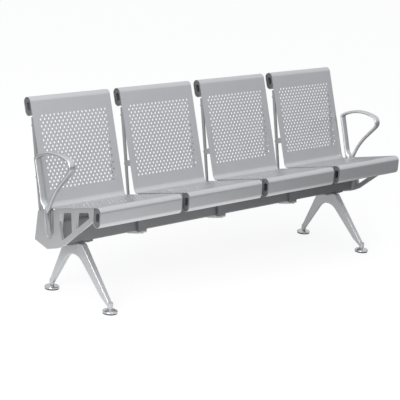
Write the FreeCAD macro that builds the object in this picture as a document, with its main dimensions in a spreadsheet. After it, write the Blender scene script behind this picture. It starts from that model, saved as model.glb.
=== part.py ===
import FreeCAD, Part
import math
import os
import re

import Sketcher
from FreeCAD import Placement, Rotation, Vector

# Four seats on one beam. X runs along the beam, the seats face -Y, Z is up.
# The origin is on the floor, midway along the beam.

SEATS = 4
JOINTS = SEATS - 1
SIDES = {"left": -1, "right": 1}
HOLE_COLUMNS = 17
SEAT_HOLE_ROWS = 17
BACK_HOLE_ROWS = 22

# Standard nuts and bolts, as shares of the thread's diameter, and the room in a nut's thread.
NUT_ACROSS = 1.625
NUT_HEIGHT = 0.8
HEAD_HEIGHT = 0.65
THREAD_ROOM = 0.05
STUD_TIP = 2

# Sizes that are set by hand, in millimetres and degrees.
SIZES = {
    # row of seats
    "seat_pitch": 480,
    "seat_width": 438,
    "back_width": 424,
    "sheet_thickness": 2,
    # seat panel
    "seat_slope": 13.8,
    "seat_rear_y": 69.7,
    "seat_rear_z": 394.2,
    "seat_run": 306.9,
    "roll_radius": 21,
    "roll_drop": 40,
    "roll_lip_gap": 1.5,
    # back panel
    "back_lean": 17.56,
    "crease_gap": 2,
    "crease_drop": 2.4,
    "toe_radius": 30,
    "toe_turn": 50,
    "back_run": 412.8,
    "back_roll_radius": 21,
    "back_roll_drop": 36,
    "back_roll_opening": 30,
    # holes in both panels
    "hole_diameter": 9,
    "hole_pitch": 21,
    "row_pitch": 14.1,
    "back_field_run": 202.4,
    # plugs in the rolled edges
    "plug_gap": 0.15,
    "plug_recess": 3,
    "plug_depth": 14,
    "plug_slot": 18,
    # beam
    "beam_front_y": -0.3,
    "beam_width": 90,
    "beam_bottom_z": 250,
    "beam_height": 107,
    "beam_wall": 3,
    "beam_corner": 9,
    "beam_fit": 0.2,
    # side frames
    "end_gap": 1,
    "end_frame_width": 12,
    "post_inset": 10,
    "post_thickness": 8,
    "post_width": 16,
    "post_foot_width": 10,
    "post_foot_drop": 30,
    "post_foot_offset": 50,
    "post_land_run": 290,
    "post_land_offset": 10,
    "post_top_gap": 6,
    "lug_run": 97,
    "lug_length": 25,
    "top_stud_run": 318,
    "frame_thickness": 10,
    "rear_stud_y": 0,
    "front_stud_y": -155.3,
    "heel_step": 5,
    "heel_run": 4,
    "flange_depth": 17,
    "arm_depth": 25,
    "end_stud_reach": 14,
    "stud_room": 1.5,
    "rabbet_depth": 2.5,
    "rabbet_height": 5,
    "nose_depth": 54,
    "window_corner": 5,
    "brace_reach": 40,
    "brace_lift": 14,
    "brace_rise": 26,
    "slot_front_y": 23,
    "slot_rear_y": 44,
    "slot_bottom_z": 290,
    "keel_drop": 23,
    "keel_back": 56,
    "tail_reach": 48,
    "shoulder_rise": 14,
    "shoulder_reach": 36,
    "socket_wall": 12,
    "spigot_length": 50,
    "spigot_wall": 8,
    # clamps between the seats
    "saddle_foot": 40,
    "saddle_shoulder": 50,
    "saddle_ear": 24,
    "saddle_bolt_rise": 13,
    "saddle_bolt_inset": 14,
    "keel_width": 46,
    "keel_bolt_seat": 5,
    "keel_bolt_reach": 32,
    # legs
    "leg_x": 803,
    "leg_plate_thickness": 7,
    "leg_plate_length": 130,
    "leg_plate_width": 80,
    "leg_bolt_x": 47,
    "leg_bolt_y": 26,
    "leg_screw_y": 24,
    "leg_screw_reach": 20,
    "leg_width": 30,
    "leg_edge_radius": 5,
    "leg_arch_radius": 70,
    "leg_instep_radius": 40,
    "ankle_diameter": 22,
    "ankle_height": 24,
    "ankle_bottom_z": 20.3,
    "front_foot_y": -190,
    "rear_foot_y": 180.5,
    # levelling glides
    "pad_diameter": 60,
    "pad_thickness": 5,
    "dome_diameter": 63,
    "dome_rim": 3,
    "dome_top": 20,
    "stud_diameter": 10,
    "stud_foot_diameter": 18,
    "stud_foot_thickness": 4,
    "stud_engagement": 24,
    "running_gap": 0.3,
    # armrests
    "arm_width": 32,
    "arm_thickness": 11,
    "arm_foot_y": 79.7,
    "arm_foot_z": 412,
    "arm_rake": 74.2,
    "arm_rear_run": 180.9,
    "arm_rear_radius": 18,
    "arm_rear_turn": 75.5,
    "arm_crown_radius": 244,
    "arm_crown_turn": 46.3,
    "arm_nose_radius": 37.3,
    "arm_nose_turn": 116.9,
    "arm_lower_run": 75.2,
    "arm_lower_radius": 302.6,
    "arm_lower_turn": 24.1,
    "arm_neck_width": 14,
    "arm_edge_radius": 4,
    "arm_screw_depth": 14,
    # fasteners
    "panel_stud_diameter": 5,
    "arm_screw_diameter": 5,
    "beam_bolt_diameter": 8,
    "screw_head_diameter": 14,
    "screw_head_height": 4,
    "bolt_gap": 0.25,
}

# Places that follow from the sizes.
PLACES = {
    "last_seat_x": "seat_pitch * 1.5",
    "end_plane_x": "last_seat_x + seat_width / 2 + end_gap",
    "post_x": "last_seat_x + back_width / 2 - post_inset",
    "beam_end_x": "post_x - post_thickness / 2",
    "joint_frame_x": "seat_pitch / 2 - back_width / 2 + post_inset",
    "frame_side_x": "joint_frame_x - frame_thickness / 2",
    "roll_top_y": "seat_rear_y - seat_run * cos(seat_slope)",
    "roll_top_z": "seat_rear_z + seat_run * sin(seat_slope)",
    "roll_y": "roll_top_y - roll_radius * sin(seat_slope)",
    "roll_z": "roll_top_z - roll_radius * cos(seat_slope)",
    "roll_rear_y": "roll_y + roll_radius",
    "pan_zero_z": "seat_rear_z + seat_rear_y * tan(seat_slope) - sheet_thickness / cos(seat_slope)",
    "toe_y": "seat_rear_y + crease_gap",
    "toe_z": "seat_rear_z - crease_drop",
    "back_y": "toe_y + toe_radius * (cos(back_lean) - cos(back_lean + toe_turn))",
    "back_z": "toe_z + toe_radius * (sin(back_lean + toe_turn) - sin(back_lean))",
    "post_top_run": "back_run - back_roll_drop - back_roll_radius - post_top_gap",
    "post_front_taper": "(post_foot_offset - post_land_offset) / (post_land_run + post_foot_drop)",
    "post_top_offset": "sheet_thickness + post_width",
    "post_rear_taper": "(post_foot_offset + post_foot_width - post_top_offset) / (post_top_run + post_foot_drop)",
    "beam_rear_y": "beam_front_y + beam_width",
    "beam_y": "beam_front_y + beam_width / 2",
    "beam_top_z": "beam_bottom_z + beam_height",
    "socket_front_y": "beam_front_y - socket_wall",
    "socket_rear_y": "beam_rear_y + socket_wall",
    "saddle_top_z": "beam_top_z + socket_wall",
    "keel_z": "beam_bottom_z - keel_drop",
    "keel_y": "beam_front_y + keel_back",
    "brace_foot_y": "beam_front_y - brace_reach",
    "brace_foot_z": "beam_bottom_z + brace_lift",
    "nose_top_z": "pan_zero_z - roll_rear_y * tan(seat_slope)",
    "nose_low_z": "nose_top_z - nose_depth",
    "brace_slope": "(nose_low_z - brace_foot_z) / (brace_foot_y - roll_rear_y)",
    "leg_top_z": "beam_bottom_z - leg_plate_thickness",
    "lug_middle_run": "lug_run + lug_length / 2",
    "saddle_bolt_front_y": "beam_front_y + saddle_bolt_inset",
    "saddle_bolt_rear_y": "beam_rear_y - saddle_bolt_inset",
    "saddle_bolt_z": "beam_top_z + saddle_bolt_rise",
    "keel_bolt_front_y": "socket_front_y + socket_wall / 2",
    "keel_bolt_rear_y": "socket_rear_y - socket_wall / 2",
    "arm_screw_low_y": "arm_foot_y - 44",
    "arm_screw_low_z": "arm_foot_z - 106",
    "arm_screw_high_y": "arm_foot_y - 35",
    "arm_screw_high_z": "arm_foot_z - 82",
}

# Where fasteners and feet sit.
SEAT_STUDS = ("rear_stud_y", "front_stud_y")
BACK_STUD_RUNS = ("lug_middle_run", "top_stud_run")
SADDLE_BOLTS = ("saddle_bolt_front_y", "saddle_bolt_rear_y")
KEEL_BOLTS = ("keel_bolt_front_y", "keel_bolt_rear_y")
ARM_SCREWS = (("arm_screw_low_y", "arm_screw_low_z"), ("arm_screw_high_y", "arm_screw_high_z"))
FEET = {"front": "front_foot_y", "rear": "rear_foot_y"}

doc = FreeCAD.newDocument("beam_seating")
nodes = {}


def fill_sheet(name, cells):
    """A spreadsheet with one named cell for each entry."""
    sheet = doc.addObject("Spreadsheet::Sheet", name)
    for row, (alias, content) in enumerate(cells.items(), 1):
        sheet.set(f"A{row}", alias)
        sheet.set(f"B{row}", content)
        sheet.setAlias(f"B{row}", alias)
    return sheet


def bound(expression, home=""):
    """The expression with each size and place written as a cell of its sheet."""
    def cell(match):
        word = match.group()
        sheet = "Sizes" if word in SIZES else "Places" if word in PLACES else home
        return word if sheet == home else f"{sheet}.{word}"
    return re.sub(r"[a-z][a-z0-9_]*", cell, expression)


sizes_sheet = fill_sheet("Sizes", {alias: str(value) for alias, value in SIZES.items()})
places_sheet = fill_sheet("Places", {alias: "=" + bound(text, "Places") for alias, text in PLACES.items()})
doc.recompute()


def at(name):
    """The number in a named cell."""
    return float((sizes_sheet if name in SIZES else places_sheet).get(name))


# Helpers for pieces made of sketches

PLANES = {"side": "YZ_Plane", "front": "XZ_Plane", "plan": "XY_Plane"}


def new_body(name):
    """An empty body that becomes a node of the same name."""
    body = doc.addObject("PartDesign::Body", name)
    body.Label = name
    nodes[name] = body
    return body


def new_sketch(body, plane, offset="0"):
    """An empty sketch on one of the body's own planes, moved along its normal."""
    support = [feature for feature in body.Origin.OriginFeatures if feature.Role == PLANES[plane]][0]
    sketch = body.newObject("Sketcher::SketchObject", body.Label + "_sketch")
    sketch.AttachmentSupport = (support, [""])
    sketch.MapMode = "FlatFace"
    sketch.setExpression("AttachmentOffset.Base.z", bound(offset))
    return sketch


def pin_point(sketch, geometry, end, place):
    """Both coordinates of a point of the sketch, each bound to an expression."""
    for kind, expression in zip(("DistanceX", "DistanceY"), place):
        number = sketch.addConstraint(Sketcher.Constraint(kind, -1, 1, geometry, end, 1))
        sketch.setExpression(f"Constraints[{number}]", bound(expression))


def add_polygon(sketch, corners):
    """A closed outline with straight sides and bound corners; returns its first side's number."""
    count = len(corners)
    first = sketch.GeometryCount
    ring = [Vector(math.cos(k * math.tau / count), math.sin(k * math.tau / count), 0) for k in range(count)]
    for k in range(count):
        sketch.addGeometry(Part.LineSegment(ring[k], ring[(k + 1) % count]))
    for k in range(count):
        sketch.addConstraint(Sketcher.Constraint("Coincident", first + k, 2, first + (k + 1) % count, 1))
    for k, corner in enumerate(corners):
        pin_point(sketch, first + k, 1, corner)
    return first


def add_circle(sketch, centre, radius):
    """A circle with a bound centre and radius."""
    number = sketch.addGeometry(Part.Circle(Vector(1, 1, 0), Vector(0, 0, 1), 1))
    pin_point(sketch, number, 3, centre)
    size = sketch.addConstraint(Sketcher.Constraint("Radius", number, 1))
    sketch.setExpression(f"Constraints[{size}]", bound(radius))


def extrude(body, sketch, length, kind="Pad"):
    """A pad or pocket that runs half its length to each side of the sketch."""
    feature = body.newObject("PartDesign::" + kind, body.Label + "_" + kind.lower())
    feature.Profile = sketch
    feature.SideType = "Symmetric"
    feature.setExpression("Length", bound(length))
    sketch.recompute()
    feature.recompute()
    if kind == "Pocket" and feature.Shape.Volume >= feature.BaseFeature.Shape.Volume:
        raise RuntimeError(body.Label + ": a pocket cut nothing")


def polygon_pad(body, plane, corners, offset, length):
    """A straight-sided pad centred on its offset from the plane."""
    sketch = new_sketch(body, plane, offset)
    add_polygon(sketch, corners)
    extrude(body, sketch, length)
    return sketch


def polygon_pocket(body, plane, corners, offset, length):
    """A straight-sided cut centred on its offset from the plane."""
    sketch = new_sketch(body, plane, offset)
    add_polygon(sketch, corners)
    extrude(body, sketch, length, "Pocket")
    return sketch


def box_corners(low, high):
    """The four corners of a rectangle between two corners given as expressions."""
    return [(low[0], low[1]), (high[0], low[1]), (high[0], high[1]), (low[0], high[1])]


def round_corners(body, sketch, corners, radius):
    """Fillets on the edges that a pad or pocket drew from some corners of its sketch."""
    placement = sketch.Placement
    normal = placement.Rotation.multVec(Vector(0, 0, 1))
    axes = [placement.multVec(sketch.Geometry[number].StartPoint) for number in corners]
    picked = []
    for number, edge in enumerate(body.Tip.Shape.Edges, 1):
        if edge.Curve.TypeId != "Part::GeomLine":
            continue
        if edge.Curve.Direction.cross(normal).Length > 0.001:
            continue
        start = edge.Vertexes[0].Point
        if any((start - axis).cross(normal).Length < 0.01 for axis in axes):
            picked.append(f"Edge{number}")
    rounded = body.Tip
    fillet = body.newObject("PartDesign::Fillet", body.Label + "_fillet")
    fillet.Base = (rounded, picked)
    fillet.setExpression("Radius", bound(radius))
    fillet.recompute()
    if "Invalid" in fillet.State:
        raise RuntimeError(body.Label + ": a corner was not rounded")


def drill(body, centre, tilt, diameter, length):
    """A round hole centred on a point, its axis tilted back from upright about the X direction."""
    support = [feature for feature in body.Origin.OriginFeatures if feature.Role == "XY_Plane"][0]
    sketch = body.newObject("Sketcher::SketchObject", body.Label + "_drilling")
    sketch.AttachmentSupport = (support, [""])
    sketch.MapMode = "FlatFace"
    sketch.AttachmentOffset = Placement(Vector(), Rotation(Vector(1, 0, 0), 1))
    for axis, expression in zip("xyz", centre):
        sketch.setExpression("AttachmentOffset.Base." + axis, bound(expression))
    sketch.setExpression("AttachmentOffset.Rotation.Angle", bound(tilt))
    add_circle(sketch, ("0", "0"), f"({diameter}) / 2")
    extrude(body, sketch, length, "Pocket")


def drill_along_beam(body, centre, diameter, length):
    """A round hole along the beam, centred on a point."""
    x, y, z = centre
    sketch = new_sketch(body, "side", x)
    add_circle(sketch, (y, z), f"({diameter}) / 2")
    extrude(body, sketch, length, "Pocket")


def revolve(body, profile):
    """A solid of revolution about the upright axis from (radius, height) corners."""
    sketch = new_sketch(body, "front")
    add_polygon(sketch, profile)
    feature = body.newObject("PartDesign::Revolution", body.Label + "_turning")
    feature.Profile = sketch
    feature.ReferenceAxis = (sketch, ["V_Axis"])
    feature.Angle = 360
    sketch.recompute()
    feature.recompute()


def place(node, x="0", y="0"):
    """The node moved to a bound place on the floor plan."""
    node.setExpression("Placement.Base.x", bound(x))
    node.setExpression("Placement.Base.y", bound(y))


# Helpers for pieces made from shapes

def new_part(name, shape, placement=None):
    """A node that holds a ready shape."""
    part = doc.addObject("Part::Feature", name)
    part.Label = name
    part.Shape = shape
    part.Placement = placement or Placement()
    nodes[name] = part
    return part


def turned(heading):
    """The direction of a heading in the side view, in degrees from +Y towards +Z."""
    angle = math.radians(heading)
    return Vector(0, math.cos(angle), math.sin(angle))


def strip_face(start, heading, moves, thickness, side):
    """A strip of even thickness along runs and arcs in the side view.

    A move is a run's length or an arc's (radius, turn), where a left turn is positive.
    The strip lies to the left of the path where side is 1 and to its right where it is -1.
    """
    point = start
    path = []
    inner = []
    first_cap = start + turned(heading + 90 * side) * thickness
    for move in moves:
        shift = turned(heading + 90 * side) * thickness
        if isinstance(move, tuple):
            radius, turn = move
            centre = point + turned(heading + math.copysign(90, turn)) * radius
            half, full = (Rotation(Vector(1, 0, 0), turn * share) for share in (0.5, 1))
            arm = point - centre
            inner_arm = arm + shift
            end = centre + full.multVec(arm)
            inner_end = centre + full.multVec(inner_arm)
            path.append(Part.Arc(point, centre + half.multVec(arm), end).toShape())
            inner.append(Part.Arc(point + shift, centre + half.multVec(inner_arm), inner_end).toShape())
            heading += turn
        else:
            end = point + turned(heading) * move
            inner_end = end + shift
            path.append(Part.makeLine(point, end))
            inner.append(Part.makeLine(point + shift, inner_end))
        point = end
    caps = [Part.makeLine(start, first_cap), Part.makeLine(point, inner_end)]
    return Part.Face(Part.Wire(Part.__sortEdges__(path + inner + caps)))


def widened(face, width):
    """A side-view face made into a solid centred on X = 0."""
    face.translate(Vector(-width / 2, 0, 0))
    return face.extrude(Vector(width, 0, 0))


def cylinder(radius, length, base, axis):
    """A cylinder from its base along an axis."""
    return Part.makeCylinder(radius, length, base, axis)


def hexagon(across_flats, length, base, axis):
    """A hexagonal prism from its base along an axis."""
    reach = across_flats / math.sqrt(3)
    corners = [Vector(reach * math.cos(k * math.pi / 3), reach * math.sin(k * math.pi / 3), 0) for k in range(7)]
    prism = Part.Face(Part.makePolygon(corners)).extrude(Vector(0, 0, length))
    prism.Placement = Placement(base, Rotation(Vector(0, 0, 1), axis))
    return prism


def hex_nut(diameter, base, axis):
    """A nut that starts at its base, with room for its thread."""
    length = NUT_HEIGHT * diameter
    nut = hexagon(NUT_ACROSS * diameter, length, base, axis)
    return nut.cut(cylinder(diameter / 2 + THREAD_ROOM, length, base, axis))


def hex_bolt(diameter, length, base, axis):
    """A bolt whose head's underside is at its base and whose shank runs along the axis."""
    head_height = HEAD_HEIGHT * diameter
    head = hexagon(NUT_ACROSS * diameter, head_height, base - axis * head_height, axis)
    return head.fuse(cylinder(diameter / 2, length, base, axis))


def seat_x(number):
    """The middle of a seat, counted from 1 at the left."""
    return (number - (SEATS + 1) / 2) * at("seat_pitch")


def joint_x(number):
    """The middle of the gap between two seats, counted from 1 at the left."""
    return (number - (JOINTS + 1) / 2) * at("seat_pitch")


def behind_back(run, offset):
    """A place at a distance up the back panel's front surface and an offset behind it."""
    y = f"back_y + ({run}) * sin(back_lean) + ({offset}) * cos(back_lean)"
    z = f"back_z + ({run}) * cos(back_lean) - ({offset}) * sin(back_lean)"
    return y, z


def below_pan(y, depth):
    """A place at a depth square to the seat pan's underside."""
    return y, f"pan_zero_z - ({y}) * tan(seat_slope) - ({depth}) / cos(seat_slope)"


def add_post(body, x):
    """The slim straight post behind a back panel, with the lug that meets the panel half way up."""
    corners = [
        behind_back("-post_foot_drop", "post_foot_offset"),
        behind_back("post_land_run", "post_land_offset"),
        behind_back("post_land_run + post_land_offset", "sheet_thickness"),
        behind_back("post_top_run", "sheet_thickness"),
        behind_back("post_top_run", "post_top_offset"),
        behind_back("-post_foot_drop", "post_foot_offset + post_foot_width"),
        ("beam_rear_y + shoulder_reach", "beam_top_z + 1"),
        ("beam_rear_y", "beam_top_z + 1"),
    ]
    polygon_pad(body, "side", corners, x, "post_thickness")
    lug_root = "post_land_offset + (post_land_run - lug_run) * post_front_taper + post_foot_width / 2"
    lug = [
        behind_back("lug_run", "sheet_thickness"),
        behind_back("lug_run + lug_length", "sheet_thickness"),
        behind_back("lug_run + lug_length", lug_root),
        behind_back("lug_run", lug_root),
    ]
    polygon_pad(body, "side", lug, x, "post_thickness")
    for run in BACK_STUD_RUNS:
        centre = (x, *behind_back(run, "0"))
        drill(body, centre, "90 - back_lean", "panel_stud_diameter + bolt_gap * 2", "post_foot_offset * 3")


def drill_for_seat_studs(body, x, depth):
    """The holes, square to the seat pan, that take its studs to a depth under it."""
    for stud_y in SEAT_STUDS:
        centre = (x, *below_pan(stud_y, "0"))
        drill(body, centre, "180 - seat_slope", "panel_stud_diameter + bolt_gap * 2", f"({depth}) * 2")


def make_beam():
    """The square-cornered steel tube that everything is clamped to."""
    body = new_body("beam")
    low = ("beam_front_y", "beam_bottom_z")
    high = ("beam_rear_y", "beam_top_z")
    outer = polygon_pad(body, "side", box_corners(low, high), "0", "beam_end_x * 2")
    round_corners(body, outer, range(4), "beam_corner")
    low = ("beam_front_y + beam_wall", "beam_bottom_z + beam_wall")
    high = ("beam_rear_y - beam_wall", "beam_top_z - beam_wall")
    bore = polygon_pocket(body, "side", box_corners(low, high), "0", "beam_end_x * 2 + 2")
    round_corners(body, bore, range(4), "beam_corner - beam_wall")
    for side in SIDES.values():
        for end in (-1, 1):
            for row in (-1, 1):
                x = f"{side} * leg_x + {end} * leg_bolt_x"
                y = f"beam_y + {row} * leg_bolt_y"
                drill(body, (x, y, "beam_bottom_z"), "0", "beam_bolt_diameter + bolt_gap * 2", "beam_wall * 4")


def brace_top(y):
    """A place on the upper edge of the end frame's slanted brace."""
    return y, f"brace_foot_z + (brace_foot_y - ({y})) * brace_slope + brace_rise"


def make_end_frame(name, side):
    """The cast truss at an end of the beam, with its spigot in the beam's bore and its post."""
    body = new_body("end_frame_" + name)
    truss_x = f"{side} * (end_plane_x - end_frame_width / 2)"
    outline = [
        ("beam_rear_y + tail_reach", "beam_bottom_z - 2"),
        ("keel_y", "keel_z"),
        ("beam_front_y - 3", "beam_bottom_z - 5"),
        ("brace_foot_y", "brace_foot_z"),
        ("roll_rear_y", "nose_low_z"),
        ("roll_rear_y", "nose_top_z"),
        below_pan("seat_rear_y - heel_run", "0"),
        below_pan("seat_rear_y", "heel_step"),
        below_pan("beam_rear_y + shoulder_reach - 10", "heel_step"),
        ("beam_rear_y + shoulder_reach", "beam_top_z + shoulder_rise"),
    ]
    sketch = polygon_pad(body, "side", outline, truss_x, "end_frame_width")
    round_corners(body, sketch, [0, 1, 4], "8")
    rear_strut = "beam_front_y - 11"
    middle_strut = "beam_front_y - 98"
    windows = [
        [
            below_pan(rear_strut, "flange_depth"),
            below_pan(middle_strut + " + 17", "flange_depth"),
            brace_top(middle_strut + " + 7"),
            brace_top(rear_strut + " - 22"),
            (rear_strut + " + 3", "beam_top_z + 7"),
        ],
        [
            below_pan(middle_strut + " - 17", "flange_depth"),
            below_pan("roll_rear_y + 29", "flange_depth"),
            brace_top("roll_rear_y + 21"),
            brace_top(middle_strut + " - 15"),
        ],
    ]
    for corners in windows:
        cut = polygon_pocket(body, "side", corners, truss_x, "end_frame_width + 2")
        round_corners(body, cut, range(len(corners)), "window_corner")
    block = [
        ("beam_rear_y + tail_reach", "beam_bottom_z - 2"),
        ("keel_y", "keel_z"),
        ("beam_front_y - 3", "beam_bottom_z - 5"),
        below_pan("socket_front_y", "flange_depth / 2"),
        ("beam_rear_y + shoulder_reach", "beam_top_z + shoulder_rise"),
    ]
    middle = f"{side} * (end_plane_x + beam_end_x) / 2"
    polygon_pad(body, "side", block, middle, "end_plane_x - beam_end_x")
    slot = [
        below_pan("slot_rear_y", "0"),
        below_pan("slot_front_y", "0"),
        ("slot_front_y", "slot_bottom_z"),
        ("slot_front_y + 4", "slot_bottom_z + 16"),
        ("slot_rear_y - 10", "beam_top_z - 12"),
    ]
    polygon_pocket(body, "side", slot, f"{side} * end_plane_x", "end_frame_width * 2")
    rabbet = [
        below_pan("seat_rear_y", "-1"),
        below_pan("roll_rear_y - 1", "-1"),
        below_pan("roll_rear_y - 1", "rabbet_height"),
        below_pan("seat_rear_y", "rabbet_height"),
    ]
    polygon_pocket(body, "side", rabbet, f"{side} * end_plane_x", "rabbet_depth * 2")
    spigot_x = f"{side} * (beam_end_x - spigot_length / 2)"
    low = ("beam_front_y + beam_wall + beam_fit", "beam_bottom_z + beam_wall + beam_fit")
    high = ("beam_rear_y - beam_wall - beam_fit", "beam_top_z - beam_wall - beam_fit")
    spigot = polygon_pad(body, "side", box_corners(low, high), spigot_x, "spigot_length")
    round_corners(body, spigot, range(4), "beam_corner - beam_wall")
    inset = "beam_wall + beam_fit + spigot_wall"
    low = (f"beam_front_y + {inset}", f"beam_bottom_z + {inset}")
    high = (f"beam_rear_y - ({inset})", f"beam_top_z - ({inset})")
    polygon_pocket(body, "side", box_corners(low, high), spigot_x, "spigot_length")
    add_post(body, f"{side} * post_x")
    drill_for_seat_studs(body, truss_x, "end_stud_reach + stud_room")
    for screw_y, screw_z in ARM_SCREWS:
        drill_along_beam(body, (middle, screw_y, screw_z), "arm_screw_diameter + bolt_gap * 2", "end_frame_width * 4")
        recess = (f"{side} * beam_end_x", screw_y, screw_z)
        drill_along_beam(body, recess, "arm_screw_diameter * 2 + bolt_gap * 2", "arm_screw_diameter * 1.2")


def make_joint_frame(name, x):
    """The slimmer cast frame under one edge of a seat, beside the gap between two seats."""
    body = new_body("seat_frame_" + name)
    outline = [
        ("beam_front_y + 4", "beam_top_z"),
        below_pan("beam_front_y + 4", "arm_depth"),
        below_pan("roll_rear_y", "arm_depth"),
        below_pan("roll_rear_y", "0"),
        below_pan("seat_rear_y - heel_run", "0"),
        below_pan("seat_rear_y", "heel_step"),
        below_pan("beam_rear_y", "heel_step"),
        behind_back("-post_foot_drop", "post_foot_offset"),
        behind_back("-post_foot_drop", "post_foot_offset + post_foot_width"),
        ("socket_rear_y", "beam_top_z"),
    ]
    sketch = polygon_pad(body, "side", outline, "0", "frame_thickness")
    round_corners(body, sketch, [1], "4")
    add_post(body, "0")
    drill_for_seat_studs(body, "0", "arm_depth + stud_room")
    for bolt_y in SADDLE_BOLTS:
        centre = ("0", bolt_y, "saddle_bolt_z")
        drill_along_beam(body, centre, "beam_bolt_diameter + bolt_gap * 2", "frame_thickness * 2")
    place(body, x)
    return body


def make_saddle(number):
    """The casting that grips the beam between two seats and carries a frame on each side."""
    body = new_body(f"beam_saddle_{number}")
    outline = [
        ("saddle_foot / 2", "beam_bottom_z"),
        ("frame_side_x", "beam_bottom_z + saddle_shoulder"),
        ("frame_side_x", "beam_top_z + saddle_ear"),
        ("-frame_side_x", "beam_top_z + saddle_ear"),
        ("-frame_side_x", "beam_bottom_z + saddle_shoulder"),
        ("-saddle_foot / 2", "beam_bottom_z"),
    ]
    sketch = polygon_pad(body, "front", outline, "-beam_y", "socket_rear_y - socket_front_y")
    round_corners(body, sketch, [1, 4], "10")
    round_corners(body, sketch, [2, 3], "6")
    low = ("beam_front_y - beam_fit", "beam_bottom_z - 1")
    high = ("beam_rear_y + beam_fit", "beam_top_z")
    polygon_pocket(body, "side", box_corners(low, high), "0", "joint_frame_x * 3")
    for bolt_y in SADDLE_BOLTS:
        centre = ("0", bolt_y, "saddle_bolt_z")
        drill_along_beam(body, centre, "beam_bolt_diameter + bolt_gap * 2", "joint_frame_x * 3")
    for bolt_y in KEEL_BOLTS:
        drill(body, ("0", bolt_y, "beam_bottom_z"), "0", "beam_bolt_diameter + bolt_gap * 2", "keel_bolt_reach * 2")
    place(body, f"{number - (JOINTS + 1) / 2} * seat_pitch")


def make_keel(number):
    """The pointed plate that closes a saddle under the beam."""
    body = new_body(f"beam_keel_{number}")
    outline = [
        ("socket_front_y", "beam_bottom_z"),
        ("socket_front_y", "beam_bottom_z - 7"),
        ("keel_y", "keel_z"),
        ("socket_rear_y", "beam_bottom_z - 14"),
        ("socket_rear_y", "beam_bottom_z"),
    ]
    sketch = polygon_pad(body, "side", outline, "0", "keel_width")
    round_corners(body, sketch, [2], "12")
    for bolt_y in KEEL_BOLTS:
        drill(body, ("0", bolt_y, "beam_bottom_z"), "0", "beam_bolt_diameter + bolt_gap * 2", "keel_drop * 3")
        spot_face = ("0", bolt_y, "beam_bottom_z - keel_bolt_seat - keel_drop")
        drill(body, spot_face, "0", "beam_bolt_diameter * 2", "keel_drop * 2")
    place(body, f"{number - (JOINTS + 1) / 2} * seat_pitch")


def make_leg_plate(name, side):
    """The steel plate between a leg and the beam."""
    body = new_body("leg_plate_" + name)
    low = ("-leg_plate_length / 2", "beam_y - leg_plate_width / 2")
    high = ("leg_plate_length / 2", "beam_y + leg_plate_width / 2")
    middle = "beam_bottom_z - leg_plate_thickness / 2"
    sketch = polygon_pad(body, "plan", box_corners(low, high), middle, "leg_plate_thickness")
    round_corners(body, sketch, range(4), "8")
    for end in (-1, 1):
        for row in (-1, 1):
            centre = (f"{end} * leg_bolt_x", f"beam_y + {row} * leg_bolt_y", "beam_bottom_z")
            drill(body, centre, "0", "beam_bolt_diameter + bolt_gap * 2", "leg_plate_thickness * 3")
    for row in (-1, 1):
        centre = ("0", f"beam_y + {row} * leg_screw_y", "beam_bottom_z")
        drill(body, centre, "0", "beam_bolt_diameter + bolt_gap * 2", "leg_plate_thickness * 3")
        drill(body, centre, "0", "screw_head_diameter + bolt_gap * 2", "screw_head_height * 2")
    place(body, f"{side} * leg_x")


def long_edges(shape, low_z, high_z):
    """The names of the edges along a leg's two slanted sides, but not those below or above its shanks."""
    picked = []
    for number, edge in enumerate(shape.Edges, 1):
        box = edge.BoundBox
        if box.XMin * box.XMax > 0 and box.ZMax > low_z and box.ZMin < high_z:
            picked.append(f"Edge{number}")
    return picked


def make_leg(name, side):
    """The cast two-footed leg: a hub under the beam, two tapering shanks and two round ankles."""
    body = new_body("leg_" + name)
    ankle = "ankle_diameter / 2"
    outline = [
        ("beam_y + 52", "leg_top_z"),
        ("beam_y - 58", "leg_top_z"),
        (f"front_foot_y - {ankle} + 2", "ankle_bottom_z + 12"),
        (f"front_foot_y + {ankle} - 2", "ankle_bottom_z + 6"),
        ("front_foot_y + 50", "ankle_bottom_z + 32"),
        ("beam_y + 3", "leg_top_z - 13"),
        (f"rear_foot_y - {ankle} + 2", "ankle_bottom_z + 6"),
        (f"rear_foot_y + {ankle} - 2", "ankle_bottom_z + 12"),
    ]
    sketch = polygon_pad(body, "side", outline, "0", "leg_width")
    round_corners(body, sketch, [5], "leg_arch_radius")
    round_corners(body, sketch, [4], "leg_instep_radius")
    for hand in (-1, 1):
        wedge = [
            (f"{hand} * leg_width / 2", "leg_top_z"),
            (f"{hand} * (ankle_diameter / 2 - 1)", "ankle_bottom_z"),
            (f"{hand} * leg_width", "ankle_bottom_z"),
            (f"{hand} * leg_width", "leg_top_z"),
        ]
        polygon_pocket(body, "front", wedge, "0", "leg_width * 40")
    rounded = body.Tip
    fillet = body.newObject("PartDesign::Fillet", body.Label + "_edges")
    fillet.Base = (rounded, long_edges(rounded.Shape, at("ankle_bottom_z") + 13, at("leg_top_z") - 1))
    fillet.setExpression("Radius", bound("leg_edge_radius"))
    fillet.recompute()
    if "Invalid" in fillet.State:
        raise RuntimeError(body.Label + ": the long edges were not rounded")
    for foot_y in FEET.values():
        sketch = new_sketch(body, "plan", "ankle_bottom_z + ankle_height / 2")
        add_circle(sketch, ("0", foot_y), "ankle_diameter / 2")
        extrude(body, sketch, "ankle_height")
        drill(body, ("0", foot_y, "ankle_bottom_z"), "0", "stud_diameter + running_gap", "stud_engagement * 2")
    for row in (-1, 1):
        centre = ("0", f"beam_y + {row} * leg_screw_y", "leg_top_z")
        drill(body, centre, "0", "beam_bolt_diameter + bolt_gap * 2", "leg_screw_reach * 2")
    place(body, f"{side} * leg_x")


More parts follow.
